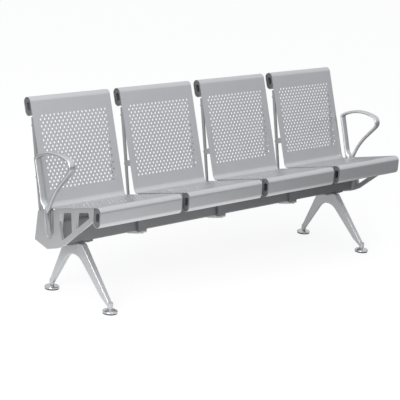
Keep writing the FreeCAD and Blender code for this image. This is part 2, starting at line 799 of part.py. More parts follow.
def make_glide(name, side, end):
    """A levelling foot: a rubber pad, a pressed dome and the stud that turns in it."""
    place_x = f"{side} * leg_x"
    place_y = FEET[end]
    full_name = f"{name}_{end}"
    rubber = new_body("glide_pad_" + full_name)
    sketch = new_sketch(rubber, "plan", "pad_thickness / 2")
    add_circle(sketch, ("0", "0"), "pad_diameter / 2")
    extrude(rubber, sketch, "pad_thickness")
    place(rubber, place_x, place_y)

    dome = new_body("glide_dome_" + full_name)
    room = "running_gap"
    cavity = f"stud_foot_diameter / 2 + {room}"
    profile = [
        (cavity, "pad_thickness"),
        ("dome_diameter / 2", "pad_thickness"),
        ("dome_diameter / 2", "pad_thickness + dome_rim"),
        ("dome_diameter / 2 - 5", "pad_thickness + dome_rim + 5"),
        ("ankle_diameter / 2 + 3", "dome_top - 2"),
        ("ankle_diameter / 2", "dome_top"),
        (f"stud_diameter / 2 + {room}", "dome_top"),
        (f"stud_diameter / 2 + {room}", "pad_thickness + stud_foot_thickness + running_gap * 2"),
        (cavity, "pad_thickness + stud_foot_thickness + running_gap * 2"),
    ]
    revolve(dome, profile)
    place(dome, place_x, place_y)

    stud = new_body("glide_stud_" + full_name)
    foot_z = f"pad_thickness + {room}"
    profile = [
        ("0", foot_z),
        ("stud_foot_diameter / 2", foot_z),
        ("stud_foot_diameter / 2", foot_z + " + stud_foot_thickness"),
        ("stud_diameter / 2", foot_z + " + stud_foot_thickness"),
        ("stud_diameter / 2", "ankle_bottom_z + stud_engagement - 2"),
        ("0", "ankle_bottom_z + stud_engagement - 2"),
    ]
    revolve(stud, profile)
    place(stud, place_x, place_y)


def perforated(sheet, rows, pitch, start, along, out):
    """The sheet with staggered rows of round holes; start is the field's middle."""
    reach = at("sheet_thickness") * 3
    across = Vector(1, 0, 0)
    drills = []
    for row in range(rows):
        stagger = (0.25 if row % 2 else -0.25) * at("hole_pitch")
        row_start = start + along * (row - (rows - 1) / 2) * pitch - out * reach / 2
        for column in range(HOLE_COLUMNS):
            x = (column - (HOLE_COLUMNS - 1) / 2) * at("hole_pitch") + stagger
            drills.append(cylinder(at("hole_diameter") / 2, reach, row_start + across * x, out))
    return sheet.cut(Part.makeCompound(drills))


def seat_sheet():
    """The pressed seat: a flat pan whose front edge rolls down and under."""
    slope = at("seat_slope")
    radius = at("roll_radius")
    start = Vector(0, at("seat_rear_y"), at("seat_rear_z"))
    pan_underside = at("pan_zero_z") - at("roll_rear_y") * math.tan(math.radians(slope))
    lip_run = pan_underside - at("roll_lip_gap") - (at("roll_z") - at("roll_drop"))
    moves = [at("seat_run"), (radius, 90 + slope), at("roll_drop"), (radius, 180), lip_run]
    face = strip_face(start, 180 - slope, moves, at("sheet_thickness"), 1)
    along = turned(180 - slope)
    sheet = widened(face, at("seat_width"))
    return perforated(sheet, SEAT_HOLE_ROWS, at("row_pitch"), start + along * at("seat_run") / 2, along, turned(90 - slope))


def back_sheet():
    """The pressed back: a flat panel with a toe bent forward and a top edge rolled to the rear."""
    upward = 90 - at("back_lean")
    radius = at("back_roll_radius")
    start = Vector(0, at("toe_y"), at("toe_z"))
    moves = [
        (at("toe_radius"), at("toe_turn")),
        at("back_run"),
        (radius, -180),
        at("back_roll_drop"),
        (radius, at("back_roll_opening") - 180),
    ]
    face = strip_face(start, upward - at("toe_turn"), moves, at("sheet_thickness"), -1)
    along = turned(upward)
    sheet = widened(face, at("back_width"))
    middle = Vector(0, at("back_y"), at("back_z")) + along * at("back_field_run")
    return perforated(sheet, BACK_HOLE_ROWS, at("row_pitch"), middle, along, turned(upward - 90))


def oval_face(low, high, radius):
    """A face bounded by two half circles and the straight sides between them, in the side view."""
    along = (high - low).normalize()
    across = Vector(1, 0, 0).cross(along)
    cap = Part.Arc(high + across * radius, high + along * radius, high - across * radius).toShape()
    cup = Part.Arc(low - across * radius, low - along * radius, low + across * radius).toShape()
    sides = [
        Part.makeLine(high - across * radius, low - across * radius),
        Part.makeLine(low + across * radius, high + across * radius),
    ]
    return Part.Face(Part.Wire(Part.__sortEdges__([cap, cup] + sides)))


def roll_plugs(low, high, radius, width):
    """The two slotted plugs that close the ends of a rolled edge."""
    plug_radius = radius - at("sheet_thickness") - at("plug_gap")
    plug = oval_face(low, high, plug_radius).extrude(Vector(at("plug_depth"), 0, 0))
    shorten = (high - low) * 0.25
    slot = oval_face(low + shorten, high - shorten, at("plug_slot") / 2)
    slot.translate(Vector(-1, 0, 0))
    plug = plug.cut(slot.extrude(Vector(at("plug_depth") + 2, 0, 0)))
    outer = width / 2 - at("plug_recess")
    left = plug.translated(Vector(-outer, 0, 0))
    right = plug.translated(Vector(outer - at("plug_depth"), 0, 0))
    return Part.makeCompound([left, right])


def make_panels():
    """The seat and back panels with the plugs in their rolled edges."""
    seat = seat_sheet()
    back = back_sheet()
    front_high = Vector(0, at("roll_y"), at("roll_z"))
    front_low = front_high - Vector(0, 0, at("roll_drop"))
    seat_plugs = roll_plugs(front_low, front_high, at("roll_radius"), at("seat_width"))
    upward = turned(90 - at("back_lean"))
    rearward = turned(-at("back_lean"))
    top_high = Vector(0, at("back_y"), at("back_z")) + upward * at("back_run") + rearward * at("back_roll_radius")
    top_low = top_high - upward * at("back_roll_drop")
    back_plugs = roll_plugs(top_low, top_high, at("back_roll_radius"), at("back_width"))
    for number in range(1, SEATS + 1):
        placement = Placement(Vector(seat_x(number), 0, 0), Rotation())
        new_part(f"seat_panel_{number}", seat, placement)
        new_part(f"back_panel_{number}", back, placement)
        new_part(f"seat_roll_plugs_{number}", seat_plugs, placement)
        new_part(f"back_roll_plugs_{number}", back_plugs, placement)


# The outline of an armrest's stem below the loop, from the loop's rear foot: its rear edge
# downward, its tip and its front edge upward, as (y, z).
ARM_STEM = [(-11, -41), (-27, -79), (-43, -120), (-51, -128), (-52, -112), (-50, -90), (-37, -39)]


def make_armrests():
    """The cast armrests: a flat strap bent into a loop, on a stem that tapers down the end frame."""
    width = at("arm_width")
    thickness = at("arm_thickness")
    foot = Vector(0, at("arm_foot_y"), at("arm_foot_z"))
    rake = at("arm_rake")
    loop = [
        at("arm_rear_run"),
        (at("arm_rear_radius"), at("arm_rear_turn")),
        (at("arm_crown_radius"), at("arm_crown_turn")),
        (at("arm_nose_radius"), at("arm_nose_turn")),
    ]
    lower = [at("arm_lower_run"), (at("arm_lower_radius"), -at("arm_lower_turn"))]
    strap = widened(strip_face(foot, rake, loop + lower, thickness, 1), width)
    rims = [edge for edge in strap.Edges if edge.BoundBox.XLength < 1 and edge.Length > thickness + 1]
    strap = strap.makeFillet(at("arm_edge_radius"), rims)

    nose_end, heading = path_end(foot, rake, loop)
    neck_end, neck_heading = path_end(nose_end, heading, lower)
    run = nose_end - neck_end
    length = run.Length
    half, neck = width / 2, at("arm_neck_width") / 2
    inward = turned(heading + 90)
    for hand in (-1, 1):
        near = nose_end + inward * thickness * 1.5
        far = near + turned(heading) * length
        corners = [
            near + Vector(hand * half, 0, 0),
            far + Vector(hand * neck, 0, 0),
            far + Vector(hand * width, 0, 0),
            near + Vector(hand * width, 0, 0),
        ]
        wedge = Part.Face(Part.makePolygon(corners + corners[:1])).extrude(inward * thickness * -7)
        strap = strap.cut(wedge)

    stem_corners = [foot + Vector(0, y, z) for y, z in ARM_STEM]
    neck_inner = neck_end + turned(neck_heading + 90) * thickness
    foot_inner = foot + turned(rake + 90) * thickness
    stem_corners += [neck_end, neck_inner, foot_inner, foot]
    stem = widened(Part.Face(Part.makePolygon(stem_corners + stem_corners[:1])), width)
    arm = strap.fuse(stem).removeSplitter()
    for name, side in SIDES.items():
        pierced = arm
        for screw_y, screw_z in ARM_SCREWS:
            mouth = Vector(-side * half, at(screw_y), at(screw_z))
            radius = at("arm_screw_diameter") / 2 + THREAD_ROOM
            pierced = pierced.cut(cylinder(radius, at("arm_screw_depth"), mouth, Vector(side, 0, 0)))
        middle = side * (at("end_plane_x") + half)
        new_part("armrest_" + name, pierced, Placement(Vector(middle, 0, 0), Rotation()))


def path_end(start, heading, moves):
    """Where a path of runs and arcs ends, and its last heading."""
    point = start
    for move in moves:
        if isinstance(move, tuple):
            radius, turn = move
            centre = point + turned(heading + math.copysign(90, turn)) * radius
            point = centre + Rotation(Vector(1, 0, 0), turn).multVec(point - centre)
            heading += turn
        else:
            point = point + turned(heading) * move
    return point, heading


def down_pan():
    """The direction square to the seat pan, away from its underside."""
    return -turned(90 - at("seat_slope"))


def joint_frame_places():
    """Each joint frame's middle on X."""
    return [
        joint_x(number) + side * at("joint_frame_x")
        for number in range(1, JOINTS + 1)
        for side in SIDES.values()
    ]


def under_pan(x, y):
    """A point on the seat pan's underside."""
    return Vector(x, y, at("pan_zero_z") - y * math.tan(math.radians(at("seat_slope"))))


def make_panel_fasteners():
    """The studs on the panels' hidden sides and the nuts that pull them onto the frames."""
    diameter = at("panel_stud_diameter")
    nut_height = NUT_HEIGHT * diameter
    studs = []
    nuts = []
    for side in SIDES.values():
        x = side * (at("end_plane_x") - at("end_frame_width") / 2)
        for stud_y in SEAT_STUDS:
            studs.append(cylinder(diameter / 2, at("end_stud_reach"), under_pan(x, at(stud_y)), down_pan()))
    stack = at("arm_depth")
    for x in joint_frame_places():
        for stud_y in SEAT_STUDS:
            base = under_pan(x, at(stud_y))
            studs.append(cylinder(diameter / 2, stack + nut_height + STUD_TIP, base, down_pan()))
            nuts.append(hex_nut(diameter, base + down_pan() * stack, down_pan()))
    new_part("seat_studs", Part.makeCompound(studs))
    new_part("seat_stud_nuts", Part.makeCompound(nuts))

    studs = []
    nuts = []
    upward = turned(90 - at("back_lean"))
    rearward = turned(-at("back_lean"))
    slant = at("post_rear_taper")
    post_places = [side * at("post_x") for side in SIDES.values()] + joint_frame_places()
    for x in post_places:
        for run_name in BACK_STUD_RUNS:
            run = at(run_name)
            offset = at("post_top_offset") + (at("post_top_run") - run) * slant
            stack = offset - at("sheet_thickness") + slant * diameter
            base = Vector(x, at("back_y"), at("back_z")) + upward * run + rearward * at("sheet_thickness")
            studs.append(cylinder(diameter / 2, stack + nut_height + STUD_TIP, base, rearward))
            nuts.append(hex_nut(diameter, base + rearward * stack, rearward))
    new_part("back_studs", Part.makeCompound(studs))
    new_part("back_stud_nuts", Part.makeCompound(nuts))


def make_joint_fasteners():
    """The bolts through each pair of seat frames, and those that close the saddles under the beam."""
    diameter = at("beam_bolt_diameter")
    span = (at("joint_frame_x") + at("frame_thickness") / 2) * 2
    across = Vector(1, 0, 0)
    up = Vector(0, 0, 1)
    bolts = []
    nuts = []
    keel_bolts = []
    for number in range(1, JOINTS + 1):
        for bolt_y in SADDLE_BOLTS:
            base = Vector(joint_x(number) - span / 2, at(bolt_y), at("saddle_bolt_z"))
            bolts.append(hex_bolt(diameter, span + NUT_HEIGHT * diameter + STUD_TIP, base, across))
            nuts.append(hex_nut(diameter, base + across * span, across))
        for bolt_y in KEEL_BOLTS:
            base = Vector(joint_x(number), at(bolt_y), at("beam_bottom_z") - at("keel_bolt_seat"))
            length = at("keel_bolt_seat") + at("keel_bolt_reach") - STUD_TIP
            keel_bolts.append(hex_bolt(diameter, length, base, up))
    new_part("frame_bolts", Part.makeCompound(bolts))
    new_part("frame_bolt_nuts", Part.makeCompound(nuts))
    new_part("keel_bolts", Part.makeCompound(keel_bolts))


def make_leg_fasteners():
    """The bolts and weld nuts that hold the leg plates to the beam, and the screws into the legs."""
    diameter = at("beam_bolt_diameter")
    up = Vector(0, 0, 1)
    bolts = []
    nuts = []
    screws = []
    grip = at("leg_plate_thickness") + at("beam_wall")
    for side in SIDES.values():
        for row in (-1, 1):
            for end in (-1, 1):
                x = side * at("leg_x") + end * at("leg_bolt_x")
                base = Vector(x, at("beam_y") + row * at("leg_bolt_y"), at("leg_top_z"))
                bolts.append(hex_bolt(diameter, grip + NUT_HEIGHT * diameter + STUD_TIP, base, up))
                nuts.append(hex_nut(diameter, base + up * grip, up))
            top = Vector(side * at("leg_x"), at("beam_y") + row * at("leg_screw_y"), at("beam_bottom_z"))
            head = cylinder(at("screw_head_diameter") / 2, at("screw_head_height"), top, -up)
            shank_length = at("leg_plate_thickness") + at("leg_screw_reach") - STUD_TIP
            screws.append(head.fuse(cylinder(diameter / 2, shank_length, top, -up)))
    new_part("leg_bolts", Part.makeCompound(bolts))
    new_part("leg_bolt_nuts", Part.makeCompound(nuts))
    new_part("leg_screws", Part.makeCompound(screws))


def make_arm_screws():
    """The screws that reach from inside the end frames into the armrests."""
    diameter = at("arm_screw_diameter")
    head_height = diameter * 0.6
    screws = []
    for side in SIDES.values():
        outward = Vector(side, 0, 0)
        for screw_y, screw_z in ARM_SCREWS:
            base = Vector(side * at("beam_end_x"), at(screw_y), at(screw_z))
            length = at("end_plane_x") - at("beam_end_x") + at("arm_screw_depth") - 1
            head = cylinder(diameter, head_height, base, outward)
            screws.append(head.fuse(cylinder(diameter / 2, length, base, outward)))
    new_part("armrest_screws", Part.makeCompound(screws))


def make_model():
    """Every piece of the bench."""
    make_beam()
    for name, side in SIDES.items():
        make_end_frame(name, side)
        make_leg_plate(name, side)
        make_leg(name, side)
        for end in FEET:
            make_glide(name, side, end)
    for number in range(1, JOINTS + 1):
        middle = f"{number - (JOINTS + 1) / 2} * seat_pitch"
        make_saddle(number)
        make_keel(number)
        make_joint_frame(f"{number}_right", middle + " - joint_frame_x")
        make_joint_frame(f"{number + 1}_left", middle + " + joint_frame_x")
    make_panels()
    make_armrests()
    make_panel_fasteners()
    make_joint_fasteners()
    make_leg_fasteners()
    make_arm_screws()


def write_parts():
    """One file for each node, after every object has been found sound."""
    doc.recompute()
    for item in doc.Objects:
        if "Invalid" in item.State or "Error" in item.State:
            raise RuntimeError(item.Label + " did not build")
    for name, node in nodes.items():
        if node.Shape.isNull() or not node.Shape.isValid():
            raise RuntimeError(name + " has no sound shape")
    os.makedirs("parts", exist_ok=True)
    for name, node in nodes.items():
        node.Shape.exportStep(f"parts/{name}.step")
    print(len(nodes), "nodes written")


make_model()
write_parts()
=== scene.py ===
import math

import bpy
import numpy as np
from mathutils import Matrix, Vector


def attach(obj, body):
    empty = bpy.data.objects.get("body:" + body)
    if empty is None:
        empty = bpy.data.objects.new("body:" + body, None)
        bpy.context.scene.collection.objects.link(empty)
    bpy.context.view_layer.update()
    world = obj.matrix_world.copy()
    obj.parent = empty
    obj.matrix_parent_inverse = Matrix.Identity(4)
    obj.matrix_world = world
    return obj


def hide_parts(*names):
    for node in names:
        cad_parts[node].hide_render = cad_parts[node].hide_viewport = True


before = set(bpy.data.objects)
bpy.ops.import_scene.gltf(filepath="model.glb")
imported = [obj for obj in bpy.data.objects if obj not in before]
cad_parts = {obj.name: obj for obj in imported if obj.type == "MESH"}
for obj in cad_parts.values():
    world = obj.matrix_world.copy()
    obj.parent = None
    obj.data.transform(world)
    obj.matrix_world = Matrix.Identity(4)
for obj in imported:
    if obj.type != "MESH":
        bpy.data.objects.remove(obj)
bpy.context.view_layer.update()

# Camera

CAMERA_AZIMUTH = -45.79
CAMERA_ELEVATION = 14.59
CAMERA_ROLL = 4.17
CAMERA_DISTANCE = 6.202
CAMERA_TARGET = Vector((-0.1417, -0.0053, 0.3397))
CAMERA_LENS = 127.47
CAMERA_REACH = 100
SENSOR_WIDTH = 36.0


def direction(azimuth, elevation):
    """The unit vector towards a viewer, from degrees; azimuth 0 is in front, on -Y."""
    a, e = math.radians(azimuth), math.radians(elevation)
    return Vector((math.sin(a) * math.cos(e), -math.cos(a) * math.cos(e), math.sin(e)))


def add_camera():
    """The camera on a line from the target, looking back along it, rolled about that line."""
    back = direction(CAMERA_AZIMUTH, CAMERA_ELEVATION)
    azimuth, roll = math.radians(CAMERA_AZIMUTH), math.radians(CAMERA_ROLL)
    level_right = Vector((math.cos(azimuth), math.sin(azimuth), 0))
    level_up = back.cross(level_right)
    right = level_right * math.cos(roll) + level_up * math.sin(roll)
    up = level_up * math.cos(roll) - level_right * math.sin(roll)
    data = bpy.data.cameras.new("camera")
    data.sensor_fit = "HORIZONTAL"
    data.sensor_width = SENSOR_WIDTH
    data.lens = CAMERA_LENS
    data.clip_end = CAMERA_REACH
    camera = bpy.data.objects.new("camera", data)
    bpy.context.scene.collection.objects.link(camera)
    turn = Matrix((right, up, back)).transposed().to_4x4()
    camera.matrix_world = Matrix.Translation(CAMERA_TARGET + back * CAMERA_DISTANCE) @ turn
    bpy.context.scene.camera = camera


add_camera()

# Nodes

MIX_FIRST_COLOUR = 6
MIX_SECOND_COLOUR = 7
MIX_RESULT_COLOUR = 2


def set_or_link(tree, socket, value):
    """Puts a value on a socket, or a link from another socket."""
    if isinstance(value, bpy.types.NodeSocket):
        tree.links.new(value, socket)
    else:
        socket.default_value = value


def add_noise(tree, vector, scale, detail):
    """A noise texture; scale is a number or a socket."""
    noise = tree.nodes.new("ShaderNodeTexNoise")
    tree.links.new(vector, noise.inputs["Vector"])
    set_or_link(tree, noise.inputs["Scale"], scale)
    noise.inputs["Detail"].default_value = detail
    return noise.outputs["Fac"]


def add_math(tree, operation, first, second):
    """A math node of two inputs, each a number or a socket."""
    node = tree.nodes.new("ShaderNodeMath")
    node.operation = operation
    set_or_link(tree, node.inputs[0], first)
    set_or_link(tree, node.inputs[1], second)
    return node.outputs[0]


def add_colour_mix(tree, blend, factor, first, second):
    """Two colours mixed by a factor, each a value or a socket."""
    node = tree.nodes.new("ShaderNodeMix")
    node.data_type = "RGBA"
    node.blend_type = blend
    set_or_link(tree, node.inputs["Factor"], factor)
    set_or_link(tree, node.inputs[MIX_FIRST_COLOUR], first)
    set_or_link(tree, node.inputs[MIX_SECOND_COLOUR], second)
    return node.outputs[MIX_RESULT_COLOUR]


def add_bump(tree, height, strength, distance):
    """A bump from a height and a strength; distance is the depth of its relief in metres."""
    bump = tree.nodes.new("ShaderNodeBump")
    bump.inputs["Distance"].default_value = distance
    tree.links.new(strength, bump.inputs["Strength"])
    tree.links.new(height, bump.inputs["Height"])
    return bump


def stretched(tree, vector, factors):
    """The coordinates scaled along each axis, which draws a texture out into streaks."""
    node = tree.nodes.new("ShaderNodeVectorMath")
    node.operation = "MULTIPLY"
    tree.links.new(vector, node.inputs[0])
    node.inputs[1].default_value = factors
    return node.outputs[0]


def add_group(tree, group, vector, **values):
    """A group node fed with a vector and numbers."""
    node = tree.nodes.new("ShaderNodeGroup")
    node.node_tree = group
    tree.links.new(vector, node.inputs["Vector"])
    for label, value in values.items():
        node.inputs[label].default_value = value
    return node


# Mottle and grain, which all the finishes share

BROAD_PATCH_DETAIL = 2.0
BROAD_PATCH_SHARE = 1.3
FINE_PATCH_SCALE = 9.0
FINE_PATCH_DETAIL = 3.0
FINE_PATCH_SHARE = 0.7
GRAIN_DETAIL = 2.0
GRAIN_DEPTH = 0.0004
WAVE_SCALE = 14.0
WAVE_DETAIL = 1.0
WAVE_DEPTH = 0.004


def new_group(name, inputs, output, kind):
    """An empty node group with a vector and number inputs and one output."""
    group = bpy.data.node_groups.new(name, "ShaderNodeTree")
    group.interface.new_socket("Vector", in_out="INPUT", socket_type="NodeSocketVector")
    for label in inputs:
        group.interface.new_socket(label, in_out="INPUT", socket_type="NodeSocketFloat")
    group.interface.new_socket(output, in_out="OUTPUT", socket_type="NodeSocket" + kind)
    return group, group.nodes.new("NodeGroupInput"), group.nodes.new("NodeGroupOutput")


def make_mottle_group():
    """A value about 1 that wanders by Amount over broad and fine patches.

    Value = 1 + Amount * (broad noise * its share + fine noise * its share - 1). Each noise lies
    about one half and the two shares add up to 2.
    """
    group, source, sink = new_group("mottle", ("Scale", "Amount"), "Value", "Float")
    vector, scale, amount = (source.outputs[label] for label in ("Vector", "Scale", "Amount"))
    broad = add_noise(group, vector, scale, BROAD_PATCH_DETAIL)
    fine_scale = add_math(group, "MULTIPLY", scale, FINE_PATCH_SCALE)
    fine = add_noise(group, vector, fine_scale, FINE_PATCH_DETAIL)
    broad_part = add_math(group, "MULTIPLY", broad, BROAD_PATCH_SHARE)
    fine_part = add_math(group, "MULTIPLY", fine, FINE_PATCH_SHARE)
    both = add_math(group, "ADD", broad_part, fine_part)
    wander = add_math(group, "MULTIPLY", add_math(group, "SUBTRACT", both, 1.0), amount)
    group.links.new(add_math(group, "ADD", wander, 1.0), sink.inputs["Value"])
    return group


def make_grain_group():
    """A bumped normal: the fine grain of a powder coat or a casting, over a gentle wave."""
    group, source, sink = new_group("grain", ("Scale", "Strength", "Wave"), "Normal", "Vector")
    vector = source.outputs["Vector"]
    fine = add_noise(group, vector, source.outputs["Scale"], GRAIN_DETAIL)
    wave = add_noise(group, vector, WAVE_SCALE, WAVE_DETAIL)
    gentle = add_bump(group, wave, source.outputs["Wave"], WAVE_DEPTH)
    grain = add_bump(group, fine, source.outputs["Strength"], GRAIN_DEPTH)
    group.links.new(gentle.outputs["Normal"], grain.inputs["Normal"])
    group.links.new(grain.outputs["Normal"], sink.inputs["Normal"])
    return group


MOTTLE = make_mottle_group()
GRAIN = make_grain_group()

# Finishes

PATCH_SCALE = 6.0


def make_finish(name, colour, metallic, roughness, grain, streak=(1, 1, 1), uneven=0.05):
    """A finish with mottled colour and roughness and a grained surface.

    grain is (scale, strength, wave), a streak below 1 draws the pattern out along that axis, and
    uneven is how strongly the mottle shows.
    """
    material = bpy.data.materials.new(name)
    material.use_nodes = True
    tree = material.node_tree
    shader = tree.nodes["Principled BSDF"]
    place = tree.nodes.new("ShaderNodeTexCoord").outputs["Object"]
    place = stretched(tree, place, streak)
    patches = add_group(tree, MOTTLE, place, Scale=PATCH_SCALE, Amount=uneven)
    mottle = patches.outputs["Value"]
    tint = add_colour_mix(tree, "MULTIPLY", 1.0, (*colour, 1), mottle)
    tree.links.new(tint, shader.inputs["Base Color"])
    gloss = add_math(tree, "MULTIPLY", mottle, roughness)
    tree.links.new(gloss, shader.inputs["Roughness"])
    scale, strength, wave = grain
    surface = add_group(tree, GRAIN, place, Scale=scale, Strength=strength, Wave=wave)
    tree.links.new(surface.outputs["Normal"], shader.inputs["Normal"])
    shader.inputs["Metallic"].default_value = metallic
    return material


LOOKS = {
    "panel_steel": make_finish(
        "panel_coat", (0.55, 0.555, 0.57), metallic=0.72, roughness=0.32, grain=(500, 0.05, 0.02)
    ),
    "cast_aluminium": make_finish(
        "cast_coat", (0.48, 0.485, 0.495), metallic=0.65, roughness=0.40, grain=(300, 0.12, 0.05)
    ),
    "armrest_aluminium": make_finish(
        "armrest_coat", (0.56, 0.565, 0.575), metallic=0.8, roughness=0.28, grain=(300, 0.06, 0.03)
    ),
    # Dark grey: partly the beam's own coat and partly painted shade from under the seats.
    "beam_steel": make_finish(
        "beam_coat_and_painted_shade", (0.20, 0.20, 0.21), metallic=0.4, roughness=0.45, grain=(400, 0.1, 0.03),
        streak=(0.2, 1, 1),
    ),
    "plug_plastic": make_finish(
        "plug_plastic", (0.12, 0.125, 0.13), metallic=0.0, roughness=0.55, grain=(600, 0.2, 0.02)
    ),
    "fastener_steel": make_finish(
        "zinc_plate", (0.55, 0.56, 0.57), metallic=0.9, roughness=0.35, grain=(700, 0.1, 0.02)
    ),
    "glide_chrome": make_finish(
        "chrome", (0.58, 0.585, 0.59), metallic=1.0, roughness=0.16, grain=(60, 0.02, 0.02),
        uneven=0.2,
    ),
    "glide_rubber": make_finish(
        "rubber", (0.05, 0.05, 0.05), metallic=0.0, roughness=0.7, grain=(500, 0.2, 0.05)
    ),
}

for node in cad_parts.values():
    node.data.materials[0] = LOOKS[node.data.materials[0].name.split(".")[0]]

# Smooth pieces

METRE = 1000
SIDES = {"left": -1, "right": 1}
SHARP_ANGLE = 40


def new_object(name, mesh):
    """A mesh object in the scene."""
    thing = bpy.data.objects.new(name, mesh)
    bpy.context.scene.collection.objects.link(thing)
    return thing


def add_piece(name, points, faces, slot, node, body):
    """A smooth closed surface that takes a node's place and rides on a body; points are metres."""
    mesh = bpy.data.meshes.new(name)
    mesh.from_pydata(points.tolist(), [], faces)
    mesh.materials.append(LOOKS[slot])
    mesh.shade_smooth()
    mesh.set_sharp_from_angle(angle=math.radians(SHARP_ANGLE))
    thing = new_object(name, mesh)
    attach(thing, body)
    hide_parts(node)


def ring_faces(rings, count, closed):
    """Four-sided faces between rings of count points; the last joins the first where closed.

    They point outwards where the way along the rings, crossed with the way around them, does.
    """
    rows = np.arange(rings if closed else rings - 1)
    i, j = (grid.ravel() for grid in np.meshgrid(rows, np.arange(count), indexing="ij"))
    here = i * count
    across = (i + 1) % rings * count
    beside = (j + 1) % count
    return np.stack([here + j, across + j, across + beside, here + beside], 1).tolist()


# Armrests, in millimetres

ARM_INNER_X = 940.0
ARM_WIDTH = 32.0
# The foot of the loop's outer edge seen from the side, as (y, z), and its slope in degrees.
ARM_FOOT = (79.7, 412.0)
ARM_RAKE = 74.2
# The outer edge up from the foot: straight runs, and arcs as (radius, turn in degrees).
ARM_LOOP = [180.9, (18.0, 75.5), (244.0, 46.3), (37.3, 116.9), 75.2, (302.6, -24.1)]
# The end of the loop, where it sinks back into the stem.
ARM_TAIL = [(60.0, 22.0), 20.0]
# The stem's rear edge down from the foot.
ARM_STEM = [12.0, (420.0, -7.5), 70.0]
ARM_STEP = 4.0
ARC_STEPS_LEAST = 3
RUN_STEPS_LEAST = 2
# Each station is (distance, thickness, width), first up from the foot.
FOOT_STATIONS = [
    (-137, 8, 22), (-122, 10, 24), (-98, 15.5, 28), (-70, 19.5, 31), (-40, 25, 32),
    (-24, 29, 32), (-12, 30, 32), (0, 19, 32), (12, 15, 32), (190, 14, 32),
]
# The same, back from the end of the path.
END_STATIONS = [(-270, 12, 32), (-190, 11.5, 26), (-104, 11, 20), (-40, 12, 17), (0, 12, 17)]
STATION_BLEND = 5
TIP_LENGTH = 9.0
# The share of the tip's length at which the end rings stay a little open.
TIP_OPENING = 0.01
RING_SIDES = 40
SECTION_POWER = 3.0


def side_path(start, heading, moves):
    """Points and headings of a path: a run steps along a line, an arc about its centre."""
    points = [np.array([start])]
    headings = [np.array([heading])]
    point = np.array(start)
    for move in moves:
        if isinstance(move, tuple):
            radius, turn = move
            arc_steps = int(radius * abs(math.radians(turn)) / ARM_STEP)
            count = max(ARC_STEPS_LEAST, arc_steps)
            angle = np.radians(heading + math.copysign(90, turn))
            centre = point + radius * np.array([np.cos(angle), np.sin(angle)])
            swept = turn * np.arange(1, count + 1) / count
            spoke = angle + math.pi + np.radians(swept)
            run = centre + radius * np.stack([np.cos(spoke), np.sin(spoke)], 1)
            headings.append(heading + swept)
            heading += turn
        else:
            count = max(RUN_STEPS_LEAST, int(move / ARM_STEP))
            share = np.arange(1, count + 1)[:, None] / count
            angle = math.radians(heading)
            run = point + move * share * np.array([math.cos(angle), math.sin(angle)])
            headings.append(np.full(count, heading))
        points.append(run)
        point = run[-1]
    return np.concatenate(points), np.concatenate(headings)


def along(points):
    """The distance from the first point to each point of a path."""
    return np.concatenate([[0], np.cumsum(np.hypot(*np.diff(points, axis=0).T))])


def smoothed(values):
    """Each value replaced by the mean of itself and its neighbours."""
    padded = np.pad(values, STATION_BLEND // 2, mode="edge")
    return np.convolve(padded, np.full(STATION_BLEND, 1 / STATION_BLEND), mode="valid")


def armrest_path():
    """The outer edge from the stem's tip up, round the loop and back into the stem."""
    stem, stem_headings = side_path(ARM_FOOT, ARM_RAKE + 180, ARM_STEM)
    loop, loop_headings = side_path(ARM_FOOT, ARM_RAKE, ARM_LOOP + ARM_TAIL)
    points = np.concatenate([stem[:0:-1], loop])
    headings = np.concatenate([stem_headings[:0:-1] - 180, loop_headings])
    return points, headings, along(stem)[-1]


def armrest_surface(side):
    """A rounded bar swept along the path; side is -1 at the left and 1 at the right.

    Each ring is a superellipse |u / half width|^p + |v / half thickness|^p = 1 square to the
    path, set inward from its outer edge by half its thickness. Width and thickness blend between
    stations along the path, and both close towards the two ends as a quarter circle does.
    """
    points, headings, foot = armrest_path()
    s = along(points)
    total = s[-1]
    low = np.array(FOOT_STATIONS, dtype=float)
    high = np.array(END_STATIONS, dtype=float)
    where = np.concatenate([low[:, 0] + foot, high[:, 0] + total])
    stations = np.concatenate([low, high])
    thickness, width = (smoothed(np.interp(s, where, stations[:, k])) for k in (1, 2))
    nearest = np.clip(np.minimum(s, total - s) / TIP_LENGTH, TIP_OPENING, 1)
    closing = np.sqrt(1 - (1 - nearest) ** 2)
    inward = np.radians(headings + 90)
    normal = np.stack([np.cos(inward), np.sin(inward)], 1)
    centre = points + normal * thickness[:, None] / 2
    a = np.arange(RING_SIDES) * math.tau / RING_SIDES
    power = 2 / SECTION_POWER
    u = np.sign(np.cos(a)) * np.abs(np.cos(a)) ** power
    v = np.sign(np.sin(a)) * np.abs(np.sin(a)) ** power
    half_width = (width * closing / 2)[:, None]
    half_thickness = (thickness * closing / 2)[:, None]
    middle = side * (ARM_INNER_X + ARM_WIDTH / 2)
    x = middle + u * half_width
    y = centre[:, :1] + normal[:, :1] * v * half_thickness
    z = centre[:, 1:] + normal[:, 1:] * v * half_thickness
    rings = np.stack([x, y, z], 2).reshape(-1, 3)
    ends = np.array([[middle, *centre[0]], [middle, *centre[-1]]])
    lower_end = len(rings)
    upper_end = lower_end + 1
    last_ring = lower_end - RING_SIDES
    j = np.arange(RING_SIDES)
    beside = (j + 1) % RING_SIDES
    faces = ring_faces(len(s), RING_SIDES, False)
    faces += np.stack([np.full(RING_SIDES, lower_end), j, beside], 1).tolist()
    upper = [np.full(RING_SIDES, upper_end), last_ring + beside, last_ring + j]
    faces += np.stack(upper, 1).tolist()
    return np.concatenate([rings, ends]) / METRE, faces


for side_name, side_sign in SIDES.items():
    arm_points, arm_faces = armrest_surface(side_sign)
    arm_node = f"armrest_{side_name}"
    add_piece(f"arm_{side_name}", arm_points, arm_faces, "armrest_aluminium", arm_node, "bench")

# Glide domes, in millimetres

